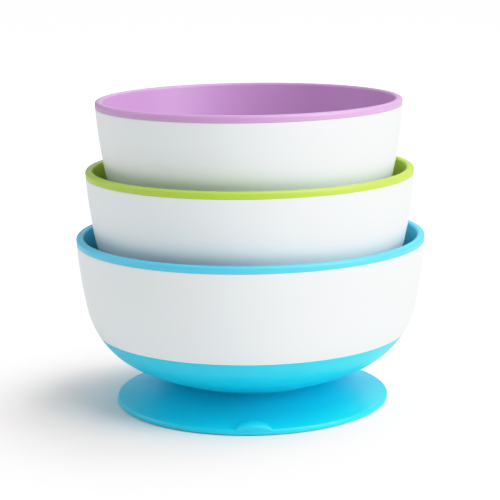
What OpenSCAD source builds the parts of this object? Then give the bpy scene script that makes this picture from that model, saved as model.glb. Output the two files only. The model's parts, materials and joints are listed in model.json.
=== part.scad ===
// Nesting set of three round suction bowls.
// Origin: on the table, on the axis of the set. +Z is up, and the release tabs face -Y.

/* [Bowls] */
// Outer radius of the large bowl's rim
large_rim_r = 68.3; // [67:0.1:71]
// Outer radius of the medium bowl's rim
medium_rim_r = 64; // [62.5:0.1:65]
// Outer radius of the small bowl's rim
small_rim_r = 59.5; // [57.5:0.1:60.5]
// Height of the large bowl from the table to its rim
large_h = 66.8; // [66:0.1:70]
// Height of the medium bowl
medium_h = 68.1; // [66:0.1:70]
// Height of the small bowl
small_h = 63.4; // [63:0.1:67]

/* [Wall] */
// Whole thickness of the wall and width of the rim
wall_t = 3; // [2.6:0.1:3.3]
// Thickness of the outer sleeve and of the base cup round the inner bowl
skin_t = 1.4; // [1:0.1:1.6]
// Height of the coloured band that the rim shows outside
rim_band_h = 2.7; // [2.5:0.1:4]
// Radius of the rim's two rounded edges
rim_edge_r = 1.1; // [0.6:0.1:1.3]
// Height of the joint line between sleeve and base cup above the table
sleeve_bottom_z = 29; // [27:0.5:33]

/* [Side curve] */
// Draft of the wall at the rim, in degrees from vertical
rim_draft = 2.3; // [1:0.1:4]
// Radius of the long curve from the rim down
side_curve_r = 168; // [150:1:200]
// Angle from vertical where the long curve meets the corner curve
side_end = 12.2; // [10:0.1:14]
// Angle from vertical where the corner curve meets the belly curve
corner_end = 61.5; // [59:0.5:63]
// Angle from vertical where the belly meets the neck
belly_end = 76.5; // [75:0.5:79]
// Radius of the curve between inner wall and inner floor
floor_curve_r = 15; // [10:1:17]
// Thickness of the whole floor over the neck
floor_t = 3.2; // [2.8:0.1:4]

/* [Suction base] */
// Outer radius of the suction skirt
skirt_r = 53.8; // [53:0.1:54.5]
// Radius of the neck, where the skirt joins the base cup
neck_r = 30; // [28:0.5:32]
// Height of the neck above the table
neck_h = 9.8; // [9:0.1:11]
// Radius of the rounded upper edge of the skirt's lip
lip_edge_r = 1.2; // [0.8:0.1:1.4]
// Slope of the skirt's upper side where it meets the lip, in degrees
lip_slope = 15; // [13:0.5:17]
// Width of the flat ring that seals on the table
seal_w = 3.2; // [2.5:0.1:4]
// Thickness of the skirt's centre under the neck
hub_t = 2; // [1.6:0.1:2.6]
// Radius of the flat roof under the skirt
roof_r = 28; // [24:0.5:30]

/* [Release tab] */
// Radius of the tab's rounded outline
tab_r = 7.2; // [6:0.1:8]
// How far the tab reaches in from the skirt's edge
tab_depth = 6; // [5:0.1:7]
// How far the tab's top stands above the skirt
tab_rise = 2.6; // [1.5:0.1:3]
// How far the tab's front stands out past the skirt's edge
tab_reach = 0.6; // [0:0.1:0.8]
// Clearance between the tab and the skirt
tab_gap = 0.3; // [0.2:0.05:0.4]

/* [Nesting] */
// Radial clearance between a nested skirt and the wall that it stands in
nest_gap = 0.45; // [0.3:0.05:0.8]

/* [Hidden] */
$fn = 96;

// Each bowl as [rim radius, height]
large = [large_rim_r, large_h];
medium = [medium_rim_r, medium_h];
small = [small_rim_r, small_h];

angle_step = 3;        // angle between two points of a curve
seal_edge_r = 0.3;     // radius of the seal ring's outer corner
skirt_points = 8;      // steps along each side of the skirt
seal_slope = 24;       // slope of the hollow where it leaves the seal ring, in degrees
dome_points = 10;      // steps over the tab's rounded top
cup_floor_t = 1.6;     // thickness of the base cup over the neck
cup_curve_r = 10;      // radius of the curve inside the base cup's floor

// Colours of the three bowls, of their softer bases and of the sleeves
bowl_colours = ["#2fb8e6", "#9cc83c", "#c79bd8"];
base_colours = ["#19b4dc", "#8fbf30", "#b98fd0"];
sleeve_colour = "#eef2f5";

// ---- Curve of the wall ----
// A wall point lies at an angle from vertical, on an arc about one of three centres.
// Depth is how far the surface lies inside the outer one.

function dir(a) = [cos(a), -sin(a)];
function reverse(list) = [for (i = [len(list) - 1 : -1 : 0]) list[i]];
function arc(centre, r, a0, a1) =
    let (n = max(2, ceil(abs(a1 - a0) / (4 * angle_step))))
    [for (i = [0 : n]) centre + r * dir(a0 + (a1 - a0) * i / n)];

function side_centre(bowl) = [bowl.x, bowl.y] - side_curve_r * dir(rim_draft);

// Radii of the corner and belly curves that bring the wall from the side curve to the neck
function lower_radii(bowl) =
    let (
        run = side_centre(bowl) + side_curve_r * dir(side_end) - [neck_r, neck_h],
        corner = dir(side_end) - dir(corner_end),
        belly = dir(corner_end) - dir(belly_end),
        det = corner.x * belly.y - belly.x * corner.y
    )
    [(run.x * belly.y - belly.x * run.y) / det, (corner.x * run.y - run.x * corner.y) / det];

function corner_centre(bowl) =
    side_centre(bowl) + (side_curve_r - lower_radii(bowl)[0]) * dir(side_end);
function belly_centre(bowl) =
    corner_centre(bowl) + (lower_radii(bowl)[0] - lower_radii(bowl)[1]) * dir(corner_end);

function wall_point(bowl, depth, a) =
    a <= side_end ? side_centre(bowl) + (side_curve_r - depth) * dir(a)
    : a <= corner_end ? corner_centre(bowl) + (lower_radii(bowl)[0] - depth) * dir(a)
    : belly_centre(bowl) + (lower_radii(bowl)[1] - depth) * dir(a);

// Angle at which the surface at a depth passes the height z, above the belly
function angle_at(bowl, depth, z) =
    let (a = asin((side_centre(bowl).y - z) / (side_curve_r - depth)))
    a <= side_end ? a : asin((corner_centre(bowl).y - z) / (lower_radii(bowl)[0] - depth));

function wall_curve(bowl, depth, a0, a1) =
    let (first = (floor(a0 / angle_step) + 1) * angle_step)
    concat(
        [wall_point(bowl, depth, a0)],
        [for (a = [first : angle_step : a1]) if (a1 - a > 0.2 && a - a0 > 0.2) wall_point(bowl, depth, a)],
        [wall_point(bowl, depth, a1)]
    );

// Inside of a cup: the wall from the angle a0 down, a curve of radius r, and a flat floor at height z
function cup_curve(bowl, depth, a0, z, r) =
    let (
        reach = lower_radii(bowl)[1] - depth - r,
        a1 = asin((belly_centre(bowl).y - z - r) / reach)
    )
    concat(
        wall_curve(bowl, depth, a0, a1),
        arc(belly_centre(bowl) + reach * dir(a1), r, a1 + angle_step, 90),
        [[0, z]]
    );

// Height above a bowl's own table at which a nested skirt stands inside it
function seat_z(bowl) =
    let (r = lower_radii(bowl)[0] - wall_t, c = corner_centre(bowl))
    c.y - r * sin(acos((skirt_r + nest_gap - c.x) / r));

medium_z = seat_z(large);
small_z = medium_z + seat_z(medium);

// ---- Profile of the skirt ----
// A side of the skirt goes out from p to q in an arc whose slope ends at a1.
function skirt_side(p, q, a1) =
    let (
        run = q - p,
        a0 = 2 * atan(run.y / run.x) - a1,
        r = norm(run) / 2 / sin((a1 - a0) / 2)
    )
    [for (i = [0 : skirt_points]) let (a = a0 + (a1 - a0) * i / skirt_points)
        p + r * [sin(a) - sin(a0), cos(a0) - cos(a)]];

lip_centre = [skirt_r - lip_edge_r, lip_edge_r];
lip_top = lip_centre + lip_edge_r * [sin(lip_slope), cos(lip_slope)];
neck_edge = [neck_r, neck_h];
seal_inner = [skirt_r - seal_w, 0];
roof_edge = [roof_r, neck_h - hub_t];
skirt_top = concat(
    skirt_side(neck_edge, lip_top, -lip_slope),
    arc(lip_centre, lip_edge_r, lip_slope - 90, 0)
);

// ---- Sub-parts of one bowl, standing on its own table at z = 0 ----

module suction_skirt() {
    rotate_extrude() polygon(concat(
        [[0, neck_h]],
        skirt_top,
        arc([skirt_r - seal_edge_r, seal_edge_r], seal_edge_r, 0, 90),
        reverse(skirt_side(roof_edge, seal_inner, -seal_slope)),
        [[0, roof_edge.y]]
    ));
}

// A low round dome on the skirt's slope, cut off just past the skirt's edge, where its front overhangs the lip
module release_tab() {
    front_r = skirt_r + tab_reach;
    centre_r = skirt_r - tab_depth + tab_r * cos(lip_slope);
    difference() {
        intersection() {
            translate([0, -centre_r, lip_top.y - (centre_r - lip_top.x) * tan(lip_slope)])
            rotate([lip_slope, 0, 0])
            rotate_extrude() polygon(concat(
                [[0, -tab_rise], [tab_r, -tab_rise]],
                [for (i = [0 : dome_points]) let (a = 90 * i / dome_points)
                    [tab_r * cos(a), tab_rise * sin(a)]]
            ));
            cylinder(r = front_r, h = neck_h);
        }
        translate([0, 0, tab_gap])
        rotate_extrude() polygon(concat(
            [[0, neck_h]],
            skirt_top,
            [[front_r + 1, lip_edge_r], [front_r + 1, -neck_h], [0, -neck_h]]
        ));
    }
}

module base_cup(bowl) {
    outer_top = angle_at(bowl, 0, sleeve_bottom_z);
    inner_top = angle_at(bowl, skin_t, sleeve_bottom_z);
    rotate_extrude() polygon(concat(
        wall_curve(bowl, 0, outer_top, belly_end),
        [[0, neck_h]],
        reverse(cup_curve(bowl, skin_t, inner_top, neck_h + cup_floor_t, cup_curve_r))
    ));
}

module outer_sleeve(bowl) {
    top_z = bowl.y - rim_band_h;
    function side(depth) =
        wall_curve(bowl, depth, angle_at(bowl, depth, top_z), angle_at(bowl, depth, sleeve_bottom_z));
    rotate_extrude() polygon(concat(side(0), reverse(side(skin_t))));
}

module inner_bowl(bowl) {
    band_z = bowl.y - rim_band_h;
    band_edge = wall_point(bowl, 0, angle_at(bowl, 0, band_z));
    edge_z = bowl.y - rim_edge_r;
    outer_edge = wall_point(bowl, 0, angle_at(bowl, 0, edge_z));
    inner_a = angle_at(bowl, wall_t, edge_z);
    inner_edge = wall_point(bowl, wall_t, inner_a);
    rotate_extrude() polygon(concat(
        [band_edge],
        cup_curve(bowl, skin_t, angle_at(bowl, skin_t, band_z), neck_h + cup_floor_t, cup_curve_r),
        reverse(cup_curve(bowl, wall_t, inner_a, neck_h + floor_t, floor_curve_r)),
        arc(inner_edge + [rim_edge_r, 0], rim_edge_r, -165, -90),
        arc(outer_edge - [rim_edge_r, 0], rim_edge_r, -90, 0)
    ));
}

// ---- Large bowl ----

module large_suction_skirt() {
    color(base_colours[0]) suction_skirt();
}

module large_release_tab() {
    color(base_colours[0]) release_tab();
}

module large_base_cup() {
    color(base_colours[0]) base_cup(large);
}

module large_outer_sleeve() {
    color(sleeve_colour) outer_sleeve(large);
}

module large_inner_bowl() {
    color(bowl_colours[0]) inner_bowl(large);
}

// ---- Medium bowl, standing in the large one ----

module medium_suction_skirt() {
    color(base_colours[1]) translate([0, 0, medium_z]) suction_skirt();
}

module medium_release_tab() {
    color(base_colours[1]) translate([0, 0, medium_z]) release_tab();
}

module medium_base_cup() {
    color(base_colours[1]) translate([0, 0, medium_z]) base_cup(medium);
}

module medium_outer_sleeve() {
    color(sleeve_colour) translate([0, 0, medium_z]) outer_sleeve(medium);
}

module medium_inner_bowl() {
    color(bowl_colours[1]) translate([0, 0, medium_z]) inner_bowl(medium);
}

// ---- Small bowl, standing in the medium one ----

module small_suction_skirt() {
    color(base_colours[2]) translate([0, 0, small_z]) suction_skirt();
}

module small_release_tab() {
    color(base_colours[2]) translate([0, 0, small_z]) release_tab();
}

module small_base_cup() {
    color(base_colours[2]) translate([0, 0, small_z]) base_cup(small);
}

module small_outer_sleeve() {
    color(sleeve_colour) translate([0, 0, small_z]) outer_sleeve(small);
}

module small_inner_bowl() {
    color(bowl_colours[2]) translate([0, 0, small_z]) inner_bowl(small);
}

large_suction_skirt();
large_release_tab();
large_base_cup();
large_outer_sleeve();
large_inner_bowl();
medium_suction_skirt();
medium_release_tab();
medium_base_cup();
medium_outer_sleeve();
medium_inner_bowl();
small_suction_skirt();
small_release_tab();
small_base_cup();
small_outer_sleeve();
small_inner_bowl();
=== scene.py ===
"""Nesting set of three suction bowls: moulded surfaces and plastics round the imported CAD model."""

import json
import math

import bpy
import numpy as np
from mathutils import Matrix, Vector


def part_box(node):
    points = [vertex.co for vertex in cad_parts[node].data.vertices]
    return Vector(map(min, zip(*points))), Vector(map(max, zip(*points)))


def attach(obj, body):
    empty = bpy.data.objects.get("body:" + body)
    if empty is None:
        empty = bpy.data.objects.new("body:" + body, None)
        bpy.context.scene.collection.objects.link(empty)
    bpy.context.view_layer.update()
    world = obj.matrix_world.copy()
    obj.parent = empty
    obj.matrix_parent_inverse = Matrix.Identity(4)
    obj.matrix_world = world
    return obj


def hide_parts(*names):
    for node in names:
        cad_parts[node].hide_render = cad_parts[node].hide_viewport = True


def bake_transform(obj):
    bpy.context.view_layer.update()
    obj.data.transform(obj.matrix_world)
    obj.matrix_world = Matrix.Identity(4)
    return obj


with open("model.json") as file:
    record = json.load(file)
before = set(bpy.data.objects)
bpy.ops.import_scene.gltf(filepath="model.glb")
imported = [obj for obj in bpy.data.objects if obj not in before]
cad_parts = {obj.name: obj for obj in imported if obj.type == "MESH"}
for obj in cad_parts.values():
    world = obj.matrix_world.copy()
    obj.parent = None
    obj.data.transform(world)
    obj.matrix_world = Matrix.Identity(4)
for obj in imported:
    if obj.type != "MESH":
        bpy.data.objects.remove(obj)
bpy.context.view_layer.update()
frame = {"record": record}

MM = 0.001
SIZES = ("large", "medium", "small")

# ---- Camera ----

CAMERA_PLACE = np.array([-1.6, -652.2, 190.8]) * MM
CAMERA_PITCH = math.radians(11.4)  # downwards
CAMERA_YAW = math.radians(0.12)  # towards +X
CAMERA_ROLL = math.radians(-0.78)
CAMERA_LENS = 121.7  # mm, on a sensor 36 mm wide


def camera():
    """A camera from its place, yaw, pitch and roll. Its axes follow one from another by cross
    products."""
    forward = np.array([
        math.sin(CAMERA_YAW) * math.cos(CAMERA_PITCH),
        math.cos(CAMERA_YAW) * math.cos(CAMERA_PITCH),
        -math.sin(CAMERA_PITCH),
    ])
    sideways = np.cross(forward, [0, 0, 1])
    sideways /= np.linalg.norm(sideways)
    upright = np.cross(sideways, forward)
    right = sideways * math.cos(CAMERA_ROLL) + upright * math.sin(CAMERA_ROLL)
    up = upright * math.cos(CAMERA_ROLL) - sideways * math.sin(CAMERA_ROLL)
    data = bpy.data.cameras.new("camera")
    data.lens = CAMERA_LENS
    data.sensor_width = 36
    data.clip_start = 0.01
    data.clip_end = 50
    made = bpy.data.objects.new("camera", data)
    bpy.context.scene.collection.objects.link(made)
    turn = np.eye(4)
    turn[:3, 0], turn[:3, 1], turn[:3, 2], turn[:3, 3] = right, up, -forward, CAMERA_PLACE
    made.matrix_world = Matrix(turn.tolist())
    bpy.context.scene.camera = made


camera()

# ---- Sizes, in metres. Radii and heights of each bowl come from the frame. ----

WALL_T = 3.0 * MM
SKIN_T = 1.4 * MM  # sleeve and base cup
RIM_BAND = 2.7 * MM
RIM_EDGE = 1.1 * MM
SLEEVE_BOTTOM = 29.0 * MM  # above the bowl's own table
SIDE_CURVE = 168.0 * MM
RIM_DRAFT, SIDE_END, CORNER_END, BELLY_END = np.radians([2.3, 12.2, 61.5, 76.5])
FLOOR_T = 3.2 * MM
FLOOR_CURVE = 15.0 * MM
CUP_FLOOR_T = 1.6 * MM
CUP_CURVE = 10.0 * MM
PARTING_EDGE = 0.22 * MM  # rounding of each edge at a joint line

NECK_R = 30.0 * MM
NECK_H = 9.8 * MM
LIP_EDGE = 1.2 * MM
LIP_SLOPE = math.radians(15)
SEAL_W = 3.2 * MM
SEAL_SLOPE = math.radians(24)
SEAL_FOOT_EDGE = 0.3 * MM
LIP_GAP, LIP_GAP_DEPTH = 0.28 * MM, 1.5 * MM  # a recess between the lip's underside and the table
SEAL_INNER_EDGE = 0.9 * MM
HUB_T = 2.0 * MM
ROOF_R = 28.0 * MM
ROOF_EDGE = 3.0 * MM
NECK_FILLET = 0.25 * MM
NECK_STEP = 0.001  # radians; the cup's first step up from the neck, which keeps that corner crisp

TAB_R = 7.2 * MM
TAB_DEPTH = 6.0 * MM
TAB_RISE = 2.6 * MM
TAB_SEAT = 0.02 * MM  # above the skirt
TAB_FOOT = 0.4 * MM  # height its front face falls towards, until it meets the skirt's lip
TAB_FRONT = 2.8 * MM  # depth of its front, a rounded brow over a steep face
TAB_BROW = 0.6  # share of the front's height that is the face
TAB_FACE = 0.07  # share of the front's depth that is the face
TAB_UNDERCUT = 0.6 * MM  # the brow overhangs the skirt's lip by this much, for a fingertip
TAB_CORE_IN = 2.6 * MM  # a point inside the tab, in from the skirt's edge
TAB_FLATTEN = 0.5  # the rays from that point end on an ellipse this deep for its width
TAB_HALVINGS = 40  # to find its outline

SEGMENTS = 256  # round the axis
POINT_STEP = 0.9 * MM  # along a curve
LEVEL_STEP = 2.5 * MM  # across a flat
EDGE_STEPS = 6  # over a small rounded edge
RIM_STEPS = 12  # over the rim's and the lip's rounded edges
TAB_RINGS, TAB_COLUMNS = 48, 192
SAME_POINT = 0.004 * MM  # points of a profile nearer than this are one
ON_AXIS = 0.001 * MM
SHARP_ANGLE = math.radians(35)  # edges sharper than this aren't smoothed

FLOOR_COLOUR = (0.95, 0.895, 0.88)
FLOOR_CELLS, FLOOR_HALF, FLOOR_BACK = 12, 6.0, 3.0  # cells a side; half width and shift back, metres
# painted light on the floor: a glow seen only by the camera, centred left of and in front of the bowls,
# which leaves a painted shadow round them
GLOW_CENTRE = (-0.032, -0.022, 0.0)
GLOW_START, GLOW_END, GLOW = 0.045, 0.14, 1.2  # metres from the centre, and strength from there on
ROOM = 0.41  # light from all round
LIGHT_AWAY = 1.5  # metres from LIGHT_AIM
LIGHT_AIM = (0, 0, 0.06)
HIGHLIGHTS = ((0.7, 0.7), (0.85, 0.82), (1.0, 0.895), (1.2, 0.95), (1.4, 0.98))  # (light in, light out)
WHITE_AT = 1.7  # light that comes out as white

# ---- Curves of the profile, as arrays of (radius, height) ----


def direction(a):
    """Unit vectors at the angles a from the radius, turning downwards: (cos a, -sin a)."""
    return np.stack([np.cos(a), -np.sin(a)], -1)


def arc(centre, r, a0, a1, steps=None):
    """Points centre + r * direction(a), with a going evenly from a0 to a1."""
    if steps is None:
        steps = max(4, int(abs(a1 - a0) * abs(r) / POINT_STEP))
    return np.asarray(centre) + r * direction(np.linspace(a0, a1, steps + 1))


def turned_to(centre, point):
    """The angle, turning downwards from the radius, at which the point lies as seen from the centre."""
    return math.atan2(centre[1] - point[1], point[0] - centre[0])


def level(r0, r1, z):
    """Points at one height, from the radius r0 to r1, LEVEL_STEP apart."""
    r = np.linspace(r0, r1, int(abs(r1 - r0) / LEVEL_STEP) + 2)
    return np.stack([r, np.full(len(r), z)], -1)


def line(p, q):
    """Points evenly spaced between p and q, both left out."""
    run = np.subtract(q, p)
    steps = max(3, int(np.linalg.norm(run) / POINT_STEP))
    return np.asarray(p) + np.outer(np.arange(1, steps) / steps, run)


def joined(*parts):
    """One profile from several, with points that repeat left out."""
    points = np.concatenate([np.atleast_2d(p) for p in parts])
    step = np.linalg.norm(np.diff(points, axis=0), axis=1)
    return points[np.concatenate([[True], step > SAME_POINT])]


def rounded(before, corner, after, r):
    """An arc in place of a corner. Its centre lies on the line that halves the corner's angle, at r /
    sin(half the angle) from the corner, so that the arc is tangent to both sides."""
    to, away = (v / np.linalg.norm(v) for v in (before - corner, after - corner))
    half = math.acos(to @ away) / 2
    middle = (to + away) / np.linalg.norm(to + away)
    centre = corner + middle * r / math.sin(half)
    start, end = (corner + v * r / math.tan(half) - centre for v in (to, away))
    a0, a1 = math.atan2(-start[1], start[0]), math.atan2(-end[1], end[0])
    turn = (a1 - a0 + math.pi) % (2 * math.pi) - math.pi
    return arc(centre, r, a0, a0 + turn, EDGE_STEPS)


class Wall:
    """The curve of one bowl's wall: a long side arc, a corner arc and a belly arc, each tangent to the
    next. The corner's and belly's radii are the ones that bring it to the neck. Depth is how far a
    surface lies inside the outer one, and heights are above the bowl's own table."""

    def __init__(self, name):
        low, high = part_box(f"{name}_inner_bowl")
        self.name = name
        skirt_low, skirt_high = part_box(f"{name}_suction_skirt")
        self.table = skirt_low.z
        self.skirt_r = (skirt_high.x - skirt_low.x) / 2
        self.rim_r = (high.x - low.x + high.y - low.y) / 4
        self.rim_h = high.z - self.table
        side = np.array([self.rim_r, self.rim_h]) - SIDE_CURVE * direction(RIM_DRAFT)
        run = side + SIDE_CURVE * direction(SIDE_END) - [NECK_R, NECK_H]
        pair = np.stack([
            direction(SIDE_END) - direction(CORNER_END),
            direction(CORNER_END) - direction(BELLY_END),
        ], 1)
        self.radii = np.array([SIDE_CURVE, *np.linalg.solve(pair, run)])
        corner = side + (self.radii[0] - self.radii[1]) * direction(SIDE_END)
        belly = corner + (self.radii[1] - self.radii[2]) * direction(CORNER_END)
        self.centres = np.array([side, corner, belly])
        self.ends = (SIDE_END, CORNER_END, BELLY_END)

    def angle_at(self, depth, z):
        """Angle from vertical at which the surface at that depth passes the height z."""
        a = math.asin((self.centres[0][1] - z) / (self.radii[0] - depth))
        if a <= SIDE_END:
            return a
        return math.asin((self.centres[1][1] - z) / (self.radii[1] - depth))

    def curve(self, depth, a0, a1):
        """The surface at that depth from the angle a0 down to the angle a1."""
        parts = []
        for centre, r, start, end in zip(self.centres, self.radii, (0, *self.ends[:-1]), self.ends):
            low, high = max(a0, start), min(a1, end)
            if high > low:
                parts.append(arc(centre, r - depth, low, high))
        return joined(*parts)

    def cup(self, depth, a0, floor, floor_curve):
        """The surface at that depth from the angle a0, a tangent floor curve and a flat floor to the
        axis."""
        reach = self.radii[2] - depth - floor_curve
        a1 = math.asin((self.centres[2][1] - floor - floor_curve) / reach)
        centre = self.centres[2] + reach * direction(a1)
        return joined(
            self.curve(depth, a0, a1),
            arc(centre, floor_curve, a1, math.pi / 2),
            level(centre[0], 0, floor),
        )


def skirt_side(p, q, a1):
    """An arc that goes out from p to q and ends at the slope a1. Returns its centre, its signed radius
    and both end slopes."""
    run = np.subtract(q, p)
    a0 = 2 * math.atan2(run[1], run[0]) - a1
    r = np.linalg.norm(run) / 2 / math.sin((a1 - a0) / 2)
    return np.asarray(p) + r * np.array([-math.sin(a0), math.cos(a0)]), r, a0, a1


def slope_arc(centre, r, a0, a1):
    """Points of a skirt side between two slopes: centre + r * (sin a, -cos a)."""
    a = np.linspace(a0, a1, max(4, int(abs((a1 - a0) * r) / POINT_STEP)) + 1)
    return centre + r * np.stack([np.sin(a), -np.cos(a)], -1)


NECK_EDGE = np.array([NECK_R, NECK_H])


def skirt_top(skirt_r):
    """The arc of the skirt's upper side, from the neck to the lip, and the centre of the lip's rounded
    edge."""
    lip = np.array([skirt_r - LIP_EDGE, LIP_EDGE])
    top = lip + LIP_EDGE * np.array([math.sin(LIP_SLOPE), math.cos(LIP_SLOPE)])
    return skirt_side(NECK_EDGE, top, -LIP_SLOPE), lip


# ---- Meshes ----


def solid(name, points, quads, triangles=None):
    """A mesh object from arrays of points, quads and triangles. If its signed volume, the sum of the
    faces' triple products, is below zero, every face is turned round, so that faces point outwards."""
    triangles = np.zeros((0, 3), int) if triangles is None else triangles
    fans = np.concatenate([triangles, quads[:, [0, 1, 2]], quads[:, [0, 2, 3]]])
    a, b, c = (points[fans[:, i]] for i in range(3))
    if np.einsum("ij,ij->", a, np.cross(b, c)) < 0:
        quads, triangles = quads[:, ::-1], triangles[:, ::-1]
    mesh = bpy.data.meshes.new(name)
    mesh.vertices.add(len(points))
    mesh.vertices.foreach_set("co", points.astype(np.float32).ravel())
    corners = np.concatenate([quads.ravel(), triangles.ravel()])
    sizes = np.concatenate([np.full(len(quads), 4), np.full(len(triangles), 3)])
    mesh.loops.add(len(corners))
    mesh.loops.foreach_set("vertex_index", corners.astype(np.int32))
    mesh.polygons.add(len(sizes))
    mesh.polygons.foreach_set("loop_start", (np.cumsum(sizes) - sizes).astype(np.int32))
    mesh.polygons.foreach_set("use_smooth", np.ones(len(sizes), bool))
    mesh.update(calc_edges=True)
    mesh.validate()
    mesh.set_sharp_from_angle(angle=SHARP_ANGLE)
    made = bpy.data.objects.new(name, mesh)
    bpy.context.scene.collection.objects.link(made)
    return made


def capped_grid(rows, columns):
    """Quads between the rows of a grid that closes on itself along each row, and triangles to two more
    points, one before its first row and one after its last."""
    i, j = np.meshgrid(np.arange(rows - 1), np.arange(columns), indexing="ij")
    beside = (j + 1) % columns
    here, below = i * columns, (i + 1) * columns
    quads = np.stack([here + j, below + j, below + beside, here + beside], -1)
    step = np.arange(columns)
    after = (step + 1) % columns
    end = (rows - 1) * columns
    first, last = np.full(columns, rows * columns), np.full(columns, rows * columns + 1)
    opening = np.stack([first, step, after], -1)
    closing = np.stack([last, end + after, end + step], -1)
    return quads.reshape(-1, 4), np.concatenate([opening, closing])


def revolved(name, profile, table):
    """A surface of revolution: point i of the profile, at the angle t, is (r_i cos t, r_i sin t, z_i +
    table). A profile that starts and ends on the axis gets a pole at each end, and any other is closed on
    itself."""
    poles = profile[0][0] < ON_AXIS and profile[-1][0] < ON_AXIS
    ring = profile[1:-1] if poles else np.concatenate([profile, profile[:1]])
    t = np.linspace(0, 2 * math.pi, SEGMENTS, endpoint=False)
    grid = np.stack([
        np.outer(ring[:, 0], np.cos(t)),
        np.outer(ring[:, 0], np.sin(t)),
        np.repeat(ring[:, 1:2] + table, SEGMENTS, 1),
    ], -1).reshape(-1, 3)
    quads, triangles = capped_grid(len(ring), SEGMENTS)
    if not poles:
        return solid(name, grid[:-SEGMENTS], quads % (len(grid) - SEGMENTS))
    ends = np.array([[0, 0, profile[0][1] + table], [0, 0, profile[-1][1] + table]])
    return solid(name, np.concatenate([grid, ends]), quads, triangles)


def inner_bowl(wall):
    """Liner, floor and rim in one revolved profile: from the axis out along the liner's back, out under
    the rim, up the rim's band, over the rim by two quarter rounds, and down the inside to the axis."""
    band, edge = wall.rim_h - RIM_BAND, wall.rim_h - RIM_EDGE
    face = wall.curve(0, wall.angle_at(0, edge), wall.angle_at(0, band))
    inside = wall.cup(WALL_T, wall.angle_at(WALL_T, edge), NECK_H + FLOOR_T, FLOOR_CURVE)
    back = wall.cup(SKIN_T, wall.angle_at(SKIN_T, band), NECK_H + CUP_FLOOR_T, CUP_CURVE)
    profile = joined(
        back[::-1],
        line(back[0], face[-1]),
        rounded(back[0], face[-1], face[-2], PARTING_EDGE),
        face[-2::-1],
        arc(face[0] - [RIM_EDGE, 0], RIM_EDGE, 0, -math.pi / 2, RIM_STEPS),
        arc(inside[0] + [RIM_EDGE, 0], RIM_EDGE, -math.pi / 2, -math.pi, RIM_STEPS),
        inside[1:],
    )
    return revolved(f"{wall.name}_liner", profile, wall.table)


def outer_sleeve(wall):
    """A closed band between the wall's outer surface and the liner's back, with rounded edges at its
    joint lines."""
    top = wall.rim_h - RIM_BAND
    outside, inside = (
        wall.curve(depth, wall.angle_at(depth, top), wall.angle_at(depth, SLEEVE_BOTTOM))
        for depth in (0, SKIN_T)
    )
    profile = joined(
        outside[1:-1],
        rounded(outside[-2], outside[-1], inside[-1], PARTING_EDGE),
        line(outside[-1], inside[-1]),
        inside[::-1],
        line(inside[0], outside[0]),
        rounded(inside[0], outside[0], outside[1], PARTING_EDGE),
    )
    return revolved(f"{wall.name}_sleeve", profile, wall.table)


def base_cup(wall):
    """The lower shell: out from the axis to the neck, up the wall's outer surface, over a rounded edge at
    the joint line, and down against the liner's back to the axis."""
    outside = wall.curve(0, wall.angle_at(0, SLEEVE_BOTTOM), BELLY_END)
    inside = wall.cup(SKIN_T, wall.angle_at(SKIN_T, SLEEVE_BOTTOM), NECK_H + CUP_FLOOR_T, CUP_CURVE)
    profile = joined(
        level(0, NECK_R, NECK_H),
        arc(wall.centres[2], wall.radii[2], BELLY_END, BELLY_END - NECK_STEP, 1),
        outside[-2:0:-1],
        rounded(outside[1], outside[0], inside[0], PARTING_EDGE),
        line(outside[0], inside[0]),
        inside,
    )
    return revolved(f"{wall.name}_cup", profile, wall.table)


def neck_fillet(wall, side):
    """The small round between the belly and the skirt's upper side, as its centre and the two points
    where it is tangent. The centre is a fillet radius outside the belly's circle and inside the skirt
    side's circle, so it is where two circles meet: along their centre line by the cosine rule, and square
    to it by Pythagoras."""
    (centre, r, _, _), belly, belly_r = side, wall.centres[2], wall.radii[2]
    from_belly, from_skirt = belly_r + NECK_FILLET, r - NECK_FILLET
    apart = np.linalg.norm(centre - belly)
    towards = (centre - belly) / apart
    along = (apart**2 + from_belly**2 - from_skirt**2) / (2 * apart)
    aside = math.sqrt(from_belly**2 - along**2)
    middle = belly + towards * along + np.array([towards[1], -towards[0]]) * aside
    on_belly = middle + (belly - middle) * NECK_FILLET / from_belly
    on_skirt = middle + (middle - centre) * NECK_FILLET / from_skirt
    return middle, on_belly, on_skirt


def suction_skirt(wall):
    """The dished disc: out from the axis under the cup, a small fillet off the belly, down the upper
    side, round the lip, in under it to the seal ring, across the ring, and up the hollow to its flat
    roof."""
    side, lip = skirt_top(wall.skirt_r)
    middle, on_belly, on_skirt = neck_fillet(wall, side)
    seal = np.array([wall.skirt_r - SEAL_W, 0])
    foot = np.array([wall.skirt_r - SEAL_FOOT_EDGE, SEAL_FOOT_EDGE + LIP_GAP])
    contact = np.array([wall.skirt_r - LIP_GAP_DEPTH, 0])
    roof = np.array([ROOF_R, NECK_H - HUB_T])
    hollow = slope_arc(*skirt_side(roof, seal, -SEAL_SLOPE))
    ceiling = level(ROOF_R, 0, roof[1])
    profile = joined(
        level(0, NECK_R, NECK_H),
        arc(wall.centres[2], wall.radii[2], BELLY_END, turned_to(wall.centres[2], on_belly)),
        arc(
            middle,
            NECK_FILLET,
            turned_to(middle, on_belly),
            turned_to(middle, on_skirt) - 2 * math.pi,
            RIM_STEPS,
        ),
        slope_arc(side[0], side[1], math.atan2(*((on_skirt - side[0]) * [1, -1])), side[3]),
        arc(lip, LIP_EDGE, LIP_SLOPE - math.pi / 2, 0, RIM_STEPS),
        arc(foot, SEAL_FOOT_EDGE, 0, math.pi / 2, EDGE_STEPS),
        line(foot - [0, SEAL_FOOT_EDGE], contact),
        contact,
        rounded(contact, seal, hollow[-2], SEAL_INNER_EDGE),
        hollow[-3:1:-1],
        rounded(hollow[1], roof, ceiling[1], ROOF_EDGE),
        ceiling[2:],
    )
    return revolved(f"{wall.name}_skirt", profile, wall.table)


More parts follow.
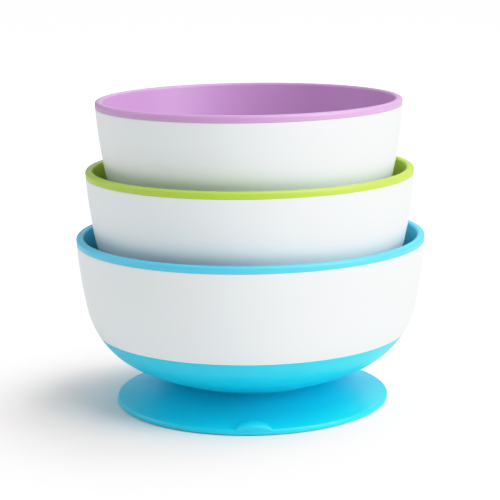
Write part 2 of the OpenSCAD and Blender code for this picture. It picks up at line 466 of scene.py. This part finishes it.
def under_tab(radius, skirt_r):
    """Height of the tab's underside: just over the skirt's upper side and lip, and past the lip just over
    TAB_FOOT, which ends the tab's outline there."""
    (centre, r, _, _), lip = skirt_top(skirt_r)
    side = centre[1] - np.sqrt(r**2 - (radius - centre[0]) ** 2)
    edge = lip[1] + np.sqrt(np.clip(LIP_EDGE**2 - (radius - lip[0]) ** 2, 0, None))
    height = np.where(radius > lip[0] + LIP_EDGE * math.sin(LIP_SLOPE), edge, side) + TAB_SEAT
    return np.where(radius > skirt_r, TAB_FOOT + TAB_SEAT, height)


def over_tab(x, y, skirt_r):
    """Heights of the tab's top and of its brow. The top is half an ellipsoid that stands on the skirt and
    leans with its slope. Over the last TAB_FRONT of its depth it falls to the brow, as a quarter of an
    ellipse, and then straight down the face towards TAB_FOOT."""
    _, lip = skirt_top(skirt_r)
    dome_r = skirt_r - TAB_DEPTH + TAB_R * math.cos(LIP_SLOPE)
    base = lip[1] + LIP_EDGE / math.cos(LIP_SLOPE) - (dome_r - lip[0]) * math.tan(LIP_SLOPE)
    sin, cos, out = math.sin(LIP_SLOPE), math.cos(LIP_SLOPE), -y - dome_r
    # (out, up) on the leaning ellipsoid: a quadratic in up, whose greater root is the top
    a = (sin / TAB_R) ** 2 + (cos / TAB_RISE) ** 2
    b = out * sin * cos * (1 / TAB_RISE**2 - 1 / TAB_R**2)
    c = (out * cos / TAB_R) ** 2 + (out * sin / TAB_RISE) ** 2 + (x / TAB_R) ** 2 - 1
    root = b**2 - a * c
    dome = np.where(root > 0, base + (np.sqrt(np.abs(root)) - b) / a, 0)
    brow = TAB_FOOT + (dome - TAB_FOOT) * TAB_BROW
    fall = (np.hypot(x, y) - skirt_r + TAB_FRONT) / TAB_FRONT
    round_part = np.clip(fall / (1 - TAB_FACE), 0, 1)
    face = np.clip((fall - 1) / TAB_FACE + 1, 0, 1)
    return brow + (dome - brow) * np.sqrt(1 - round_part**2) - (brow - TAB_FOOT) * face, brow


def release_tab(wall):
    """A cap over a base with one outline. From a point inside, the outline in each direction is where top
    and underside meet, found by halving an interval for all directions at once. Rings run to it over the
    top, closer together as a sine is near its peak, and back along the underside."""
    turn = np.linspace(0, 2 * math.pi, TAB_COLUMNS, endpoint=False)
    core_y = -(wall.skirt_r - TAB_CORE_IN)
    across, along = np.cos(turn), np.sin(turn) * TAB_FLATTEN

    def heights(share):
        x, y = across * share, core_y + along * share
        return x, y, *over_tab(x, y, wall.skirt_r), under_tab(np.hypot(x, y), wall.skirt_r)

    near, far = np.zeros(TAB_COLUMNS), np.full(TAB_COLUMNS, 2 * TAB_R)
    for _ in range(TAB_HALVINGS):
        middle = (near + far) / 2
        _, _, top, _, under = heights(middle)
        near, far = np.where(top > under, middle, near), np.where(top > under, far, middle)
    ring = np.sin(np.linspace(0, math.pi / 2, TAB_RINGS + 1))[1:, None]
    x, y, top, brow, under = heights(near * ring)
    # the face leans out to the brow by TAB_UNDERCUT, as the square of its height, and less towards its ends
    lean = np.clip((top - TAB_FOOT) / (brow - TAB_FOOT), 0, 1) ** 2
    nearness = np.clip((np.hypot(x, y) - wall.skirt_r + TAB_FRONT) / TAB_FRONT, 0, 1) ** 2
    centred = np.clip(1 - (x / TAB_R) ** 2, 0, 1)
    leaning = y - TAB_UNDERCUT * lean * nearness * centred
    grid = np.concatenate([np.stack([x, leaning, top], -1), np.stack([x, y, under], -1)[-2::-1]])
    _, _, top, _, under = heights(0 * near)
    core = np.array([[0, core_y, top[0]], [0, core_y, under[0]]])
    points = np.concatenate([grid.reshape(-1, 3), core]) + [0, 0, wall.table]
    return solid(f"{wall.name}_tab", points, *capped_grid(2 * TAB_RINGS - 1, TAB_COLUMNS))


# ---- Finishes ----


def add(tree, kind, inputs=None, **settings):
    """A node in a tree. Inputs are numbers, colours or other nodes' sockets, by name or place."""
    node = tree.nodes.new(f"ShaderNode{kind}")
    for key, value in settings.items():
        setattr(node, key, value)
    for key, value in (inputs or {}).items():
        if isinstance(value, bpy.types.NodeSocket):
            tree.links.new(value, node.inputs[key])
        else:
            node.inputs[key].default_value = value
    return node


def group_of(name, takes, gives):
    """An empty node group with its input and output nodes. Takes and gives are socket names with their
    types."""
    tree = bpy.data.node_groups.new(name, "ShaderNodeTree")
    for socket, kind in takes.items():
        tree.interface.new_socket(socket, in_out="INPUT", socket_type=f"NodeSocket{kind}")
    for socket, kind in gives.items():
        tree.interface.new_socket(socket, in_out="OUTPUT", socket_type=f"NodeSocket{kind}")
    return tree, tree.nodes.new("NodeGroupInput").outputs, tree.nodes.new("NodeGroupOutput").inputs


def math_node(tree, operation, a, b):
    return add(tree, "Math", {0: a, 1: b}, operation=operation).outputs[0]


def noise(tree, place, scale, detail=2.0, roughness=0.5):
    """Noise about as wide as 1 / scale metres, from 0 to 1."""
    inputs = {"Vector": place, "Scale": scale, "Detail": detail, "Roughness": roughness}
    return add(tree, "TexNoise", inputs).outputs[0]


def spread(tree, value, low, high):
    """The middle of a noise's range, from 0.3 to 0.7, carried to low and high."""
    inputs = {"Value": value, "From Min": 0.3, "From Max": 0.7, "To Min": low, "To Max": high}
    return add(tree, "MapRange", inputs).outputs[0]


def moulded_surface():
    """Pigment, gloss and skin of a moulding. The colour drifts slowly by a share of itself and the
    roughness in smaller patches. The height is the mould's spark-eroded grain on the slow waviness of a
    cooled wall."""
    tree, given, out = group_of(
        "moulded_surface",
        {
            "Colour": "Color",
            "Drift": "Float",
            "Roughness": "Float",
            "Grain Size": "Float",
            "Waviness": "Float",
        },
        {"Colour": "Color", "Roughness": "Float", "Height": "Float"},
    )
    place = add(tree, "TexCoord").outputs["Object"]
    slow = spread(tree, noise(tree, place, 22.0), -1, 1)
    shade = math_node(tree, "ADD", math_node(tree, "MULTIPLY", slow, given["Drift"]), 1.0)
    tinted = add(tree, "VectorMath", {0: given["Colour"], 1: shade}, operation="MULTIPLY")
    tree.links.new(tinted.outputs[0], out["Colour"])
    patches = spread(tree, noise(tree, place, 90.0, 3.0), 0.86, 1.14)
    tree.links.new(math_node(tree, "MULTIPLY", given["Roughness"], patches), out["Roughness"])
    grain = noise(tree, place, given["Grain Size"], 2.0, 0.6)
    wave = math_node(tree, "MULTIPLY", noise(tree, place, 38.0, 1.0), given["Waviness"])
    tree.links.new(math_node(tree, "ADD", grain, wave), out["Height"])
    return tree


def handling():
    """What use leaves on a surface: fine dust caught by its grain, and hairline rubs, long along one
    direction."""
    tree, given, out = group_of(
        "handling", {"Dust": "Float", "Rubs": "Float"}, {"Dust": "Float", "Rubs": "Float"}
    )
    place = add(tree, "TexCoord").outputs["Object"]
    specks = add(tree, "TexVoronoi", {"Vector": place, "Scale": 420.0}, feature="F1").outputs["Distance"]
    speck = {"Value": specks, "From Min": 0.05, "From Max": 0.16, "To Min": 1, "To Max": 0}
    near = add(tree, "MapRange", speck)
    some = spread(tree, noise(tree, place, 60.0), 0, 1)
    dust = math_node(tree, "MULTIPLY", math_node(tree, "MULTIPLY", near.outputs[0], some), given["Dust"])
    tree.links.new(dust, out["Dust"])
    stretch = {"Vector": place, "Rotation": (0.2, 0.5, 0.9), "Scale": (1.0, 14.0, 14.0)}
    stretched = add(tree, "Mapping", stretch)
    hair = noise(tree, stretched.outputs[0], 130.0, 3.0, 0.7)
    rubs = add(tree, "MapRange", {"Value": hair, "From Min": 0.58, "From Max": 0.7})
    tree.links.new(math_node(tree, "MULTIPLY", rubs.outputs[0], given["Rubs"]), out["Rubs"])
    return tree


MOULDED, HANDLING = moulded_surface(), handling()
DUST_COLOUR = (0.86, 0.85, 0.83, 1)
RUB_DULLS = 0.2  # roughness that a full rub adds


def finish(name, colour, *, rough, drift, grain, grain_depth, waviness, dust, rubs, gloss):
    """A moulded material. Grain is per metre, its depth in metres, and waviness is in grain depths. Gloss
    is the specular level."""
    made = bpy.data.materials.new(name)
    made.use_nodes = True
    tree = made.node_tree
    skin = tree.nodes["Principled BSDF"]
    surface = add(tree, "Group", node_tree=MOULDED)
    values = {
        "Colour": (*colour, 1), "Drift": drift, "Roughness": rough, "Grain Size": grain, "Waviness": waviness
    }
    for key, value in values.items():
        surface.inputs[key].default_value = value
    marks = add(tree, "Group", node_tree=HANDLING)
    marks.inputs["Dust"].default_value, marks.inputs["Rubs"].default_value = dust, rubs
    inputs = {0: marks.outputs["Dust"], 6: surface.outputs["Colour"], 7: DUST_COLOUR}
    dusted = add(tree, "Mix", inputs, data_type="RGBA")
    tree.links.new(dusted.outputs[2], skin.inputs["Base Color"])
    rubbed = math_node(tree, "MULTIPLY", marks.outputs["Rubs"], RUB_DULLS)
    dull = math_node(tree, "ADD", surface.outputs["Roughness"], rubbed)
    tree.links.new(math_node(tree, "ADD", dull, marks.outputs["Dust"]), skin.inputs["Roughness"])
    bump = add(tree, "Bump", {"Height": surface.outputs["Height"], "Distance": grain_depth, "Strength": 1.0})
    tree.links.new(bump.outputs[0], skin.inputs["Normal"])
    skin.inputs["Specular IOR Level"].default_value = gloss
    return made


PLASTIC = dict(
    rough=0.42, drift=0.01, grain=2600.0, grain_depth=0.7e-5, waviness=1.5, dust=0.03, rubs=0.06, gloss=0.7
)
ELASTOMER = dict(
    rough=0.38, drift=0.014, grain=2000.0, grain_depth=1.2e-5, waviness=1.5, dust=0.04, rubs=0.04, gloss=0.55
)
WHITE = (0.785, 0.86, 0.885)
BLUE = (0.003, 0.64, 0.86)
PALER_BLUE = (0.07, 0.6, 0.86)
GREEN = (0.43, 0.64, 0.045)
PURPLE = (0.57, 0.32, 0.61)
FINISHES = {
    "blue_plastic": finish("blue_plastic", PALER_BLUE, **PLASTIC),
    "green_plastic": finish("green_plastic", GREEN, **PLASTIC),
    "purple_plastic": finish("purple_plastic", PURPLE, **PLASTIC),
    "white_plastic": finish("white_plastic", WHITE, **PLASTIC),
    "blue_elastomer": finish("blue_elastomer", BLUE, **ELASTOMER),
    "green_elastomer": finish("green_elastomer", GREEN, **ELASTOMER),
    "purple_elastomer": finish("purple_elastomer", PURPLE, **ELASTOMER),
}

# ---- The three bowls ----

MAKERS = {
    "inner_bowl": inner_bowl,
    "outer_sleeve": outer_sleeve,
    "base_cup": base_cup,
    "suction_skirt": suction_skirt,
    "release_tab": release_tab,
}
SLOTS = {part["node"]: part["material_slot"] for part in frame["record"]["subparts"]}

for size in SIZES:
    wall = Wall(size)
    for part, maker in MAKERS.items():
        node = f"{size}_{part}"
        piece = maker(wall)
        piece.data.materials.append(FINISHES[SLOTS[node]])
        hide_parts(node)
        if part == "suction_skirt":
            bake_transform(piece)
        else:
            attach(piece, f"{size}_{'tab' if part == 'release_tab' else 'bowl'}")

# ---- Floor and light ----


def floor():
    """A pale floor, wide enough to fill the view. Its light away from the bowls is painted: a glow that only
    the camera sees, which leaves a painted shadow round them.
    """
    row = FLOOR_CELLS + 1
    across = np.linspace(-FLOOR_HALF, FLOOR_HALF, row)
    x, y = np.meshgrid(across, across + FLOOR_BACK, indexing="ij")
    points = np.stack([x, y, np.zeros_like(x)], -1).reshape(-1, 3)
    i, j = np.meshgrid(np.arange(FLOOR_CELLS), np.arange(FLOOR_CELLS), indexing="ij")
    corner = i * row + j
    quads = np.stack([corner, corner + row, corner + row + 1, corner + 1], -1).reshape(-1, 4)
    made = solid("floor", points, quads)
    paper = bpy.data.materials.new("floor_paper")
    paper.use_nodes = True
    tree = paper.node_tree
    skin = tree.nodes["Principled BSDF"]
    place = add(tree, "TexCoord").outputs["Object"]
    tone = spread(tree, noise(tree, place, 3.0), 0.985, 1.0)
    tinted = add(tree, "VectorMath", {0: FLOOR_COLOUR, 1: tone}, operation="MULTIPLY")
    tree.links.new(tinted.outputs[0], skin.inputs["Base Color"])
    # painted light: an emission that only the camera sees, rising with distance from GLOW_CENTRE, so that
    # the floor is whiter away from the bowls and keeps a painted shadow near them, most of all at their
    # left; it lights nothing else
    away = add(tree, "VectorMath", {0: place, 1: GLOW_CENTRE}, operation="DISTANCE").outputs["Value"]
    ramp = {"Value": away, "From Min": GLOW_START, "From Max": GLOW_END, "To Min": 0.0, "To Max": GLOW}
    glow = add(tree, "MapRange", ramp, interpolation_type="SMOOTHSTEP").outputs[0]
    seen = add(tree, "LightPath").outputs["Is Camera Ray"]
    tree.links.new(math_node(tree, "MULTIPLY", glow, seen), skin.inputs["Emission Strength"])
    skin.inputs["Emission Color"].default_value = (1, 1, 1, 1)
    skin.inputs["Roughness"].default_value = 0.9
    skin.inputs["Specular IOR Level"].default_value = 0.0
    made.data.materials.append(paper)


def softbox(name, azimuth, height, power, across=1.0):
    """A square area light, aimed at the bowls from LIGHT_AWAY. Azimuth is in degrees from the front
    towards +X, and height in degrees above the floor."""
    a, h = math.radians(azimuth), math.radians(height)
    way = Vector((math.sin(a) * math.cos(h), -math.cos(a) * math.cos(h), math.sin(h)))
    data = bpy.data.lights.new(name, "AREA")
    data.size, data.energy = across, power
    made = bpy.data.objects.new(name, data)
    made.location = way * LIGHT_AWAY + Vector(LIGHT_AIM)
    made.rotation_euler = way.to_track_quat("Z", "Y").to_euler()
    bpy.context.scene.collection.objects.link(made)


floor()
softbox("key", azimuth=62, height=22, power=12.5)
softbox("high", azimuth=85, height=56, power=8.5)
softbox("front", azimuth=30, height=60, power=5.0, across=0.5)
softbox("left", azimuth=-100, height=25, power=4.2)
softbox("rear", azimuth=165, height=40, power=4.0)
room = bpy.data.worlds.new("room")
room.use_nodes = True
room.node_tree.nodes["Background"].inputs["Color"].default_value = (1, 1, 1, 1)
room.node_tree.nodes["Background"].inputs["Strength"].default_value = ROOM
bpy.context.scene.world = room


def soft_highlights():
    """Standard view, with its highlights drawn in by a curve through HIGHLIGHTS, which reaches white at
    WHITE_AT."""
    view = bpy.context.scene.view_settings
    view.view_transform = "Standard"
    view.use_curve_mapping = True
    curves = view.curve_mapping
    curves.use_clip = True
    curves.clip_max_x = 2.0
    curve = curves.curves[3]
    curve.points[-1].location = (WHITE_AT, 1.0)
    for light_in, light_out in HIGHLIGHTS:
        curve.points.new(light_in, light_out)
    for point in curve.points:
        point.handle_type = "VECTOR"
    curves.update()


soft_highlights()
